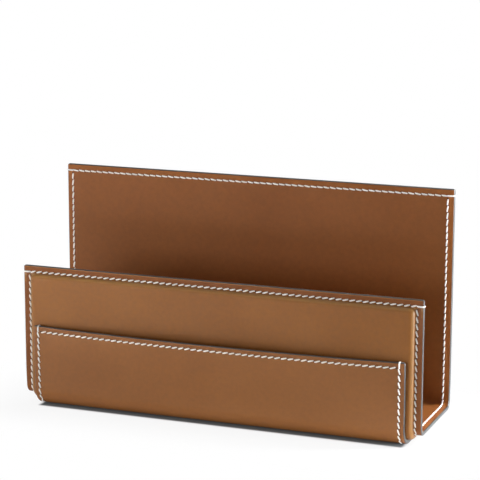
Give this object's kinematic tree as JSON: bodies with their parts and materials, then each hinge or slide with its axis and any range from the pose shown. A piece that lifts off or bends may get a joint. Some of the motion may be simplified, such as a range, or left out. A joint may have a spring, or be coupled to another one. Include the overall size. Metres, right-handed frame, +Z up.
{
  "type": "letter holder",
  "caption": "Leather-covered desk rack bent into a tall back, a base and a lower front, open at the ends, with a sewn card pocket across its front.",
  "frame": {"origin": "middle of the holder's box on the desk that it stands on", "axes": "+Z up, X along the width, front with the pocket towards -Y"},
  "size_m": [0.2408, 0.0754, 0.133],
  "materials": {
    "tan_leather": "satin smooth calf leather, tan, with dark painted edges",
    "lining_leather": "satin smooth calf leather, tan, with dark painted edges",
    "core_steel": "bare bent sheet",
    "filler_board": "bonded leather board, unfinished",
    "white_thread": "waxed linen thread"
  },
  "bodies": {
    "root": {"outer_leather": "tan_leather", "lining_leather": "lining_leather", "steel_core": "core_steel", "filler_board": "filler_board", "pocket_leather": "tan_leather", "pocket_lining": "lining_leather", "back_top_thread": "white_thread", "front_top_thread": "white_thread", "left_side_thread": "white_thread", "right_side_thread": "white_thread", "pocket_top_thread": "white_thread", "pocket_left_thread": "white_thread", "pocket_right_thread": "white_thread"}
  },
  "joints": []
}
